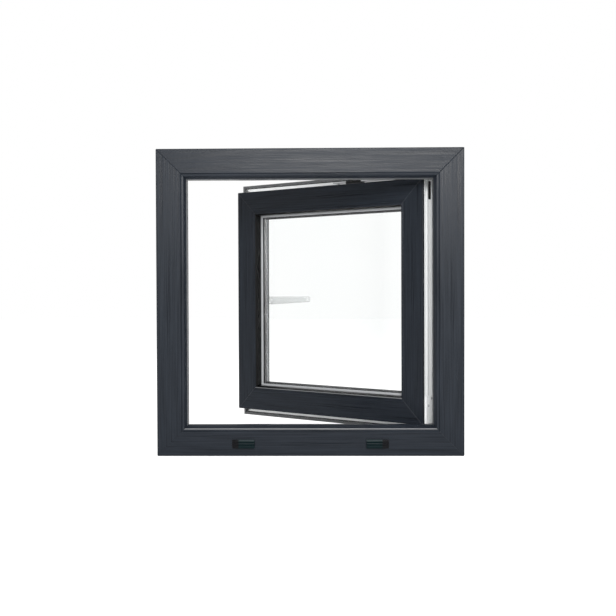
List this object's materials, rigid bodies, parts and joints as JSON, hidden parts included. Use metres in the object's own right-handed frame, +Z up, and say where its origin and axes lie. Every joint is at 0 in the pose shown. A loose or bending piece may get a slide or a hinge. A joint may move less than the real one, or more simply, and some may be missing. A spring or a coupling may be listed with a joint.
{
  "type": "tilt and turn window",
  "caption": "Square inward-opening window: mitred profile frame and glazed sash that turns on side hinges, tilts on its bottom edge and locks with a lever handle.",
  "frame": {"origin": "middle of the frame's bottom face", "axes": "+X along the sill to the right seen from outside, +Y into the room, +Z up"},
  "size_m": [0.6, 0.4422, 0.6],
  "materials": {
    "profile": "anthracite grained foil outside, white plastic inside",
    "bead": "smooth white plastic",
    "seal": "light grey soft seal",
    "glass": "clear float glass",
    "spacer": "dark grey spacer bar",
    "drain_cap": "dark moulded plastic",
    "hardware": "zinc plated steel",
    "hinge": "white coated hinge parts",
    "handle": "white lacquered handle"
  },
  "bodies": {
    "frame": {"frame_top": "profile", "frame_bottom": "profile", "frame_left": "profile", "frame_right": "profile", "frame_seal": "seal", "drain_cap_left": "drain_cap", "drain_cap_right": "drain_cap", "corner_bearing": "hinge", "stay_bearing": "hinge", "striker_upper": "hardware", "striker_lower": "hardware"},
    "pivot": {"pivot_pin": "hardware"},
    "stay": {"stay_arm": "hardware"},
    "sash": {"sash_top": "profile", "sash_bottom": "profile", "sash_left": "profile", "sash_right": "profile", "bead_top": "bead", "bead_bottom": "bead", "bead_left": "bead", "bead_right": "bead", "glazing_gasket_outer": "seal", "glazing_gasket_inner": "seal", "spacer_bar": "spacer", "pane_outer": "glass", "pane_inner": "glass", "lower_hinge_strap": "hinge", "stay_guide": "hardware", "overlap_seal": "seal", "lock_faceplate": "hardware", "handle_rosette": "handle"},
    "handle": {"handle_lever": "handle"},
    "lock": {"lock_rod": "hardware"}
  },
  "joints": [
    {"name": "sash_turn", "type": "hinge", "parent": "frame", "child": "pivot", "pos_m": [0.277, 0.044, 0.033], "axis": [0, 0, -1], "range_deg": [-37, 53]},
    {"name": "sash_tilt", "type": "hinge", "parent": "pivot", "child": "sash", "pos_m": [0.277, 0.044, 0.033], "axis": [0.7986, -0.6018, 0], "range_deg": [-12, 0]},
    {"name": "stay_swing", "type": "hinge", "parent": "pivot", "child": "stay", "pos_m": [0.277, 0.044, 0.55], "axis": [0, 0, -1], "range_deg": [0, 25]},
    {"name": "handle_turn", "type": "hinge", "parent": "sash", "child": "handle", "pos_m": [-0.1265, 0.35432, 0.3], "axis": [0.6018, 0.7986, 0], "range_deg": [-90, 90]},
    {"name": "lock_slide", "type": "slide", "parent": "sash", "child": "lock", "axis": [0, 0, 1], "range_m": [-0.0181, 0.0181]}
  ],
  "couplings": [
    {"joint": "stay_swing", "follows": "sash_tilt", "ratio": -2.07},
    {"joint": "lock_slide", "follows": "handle_turn", "m_per_rad": 0.011459}
  ]
}
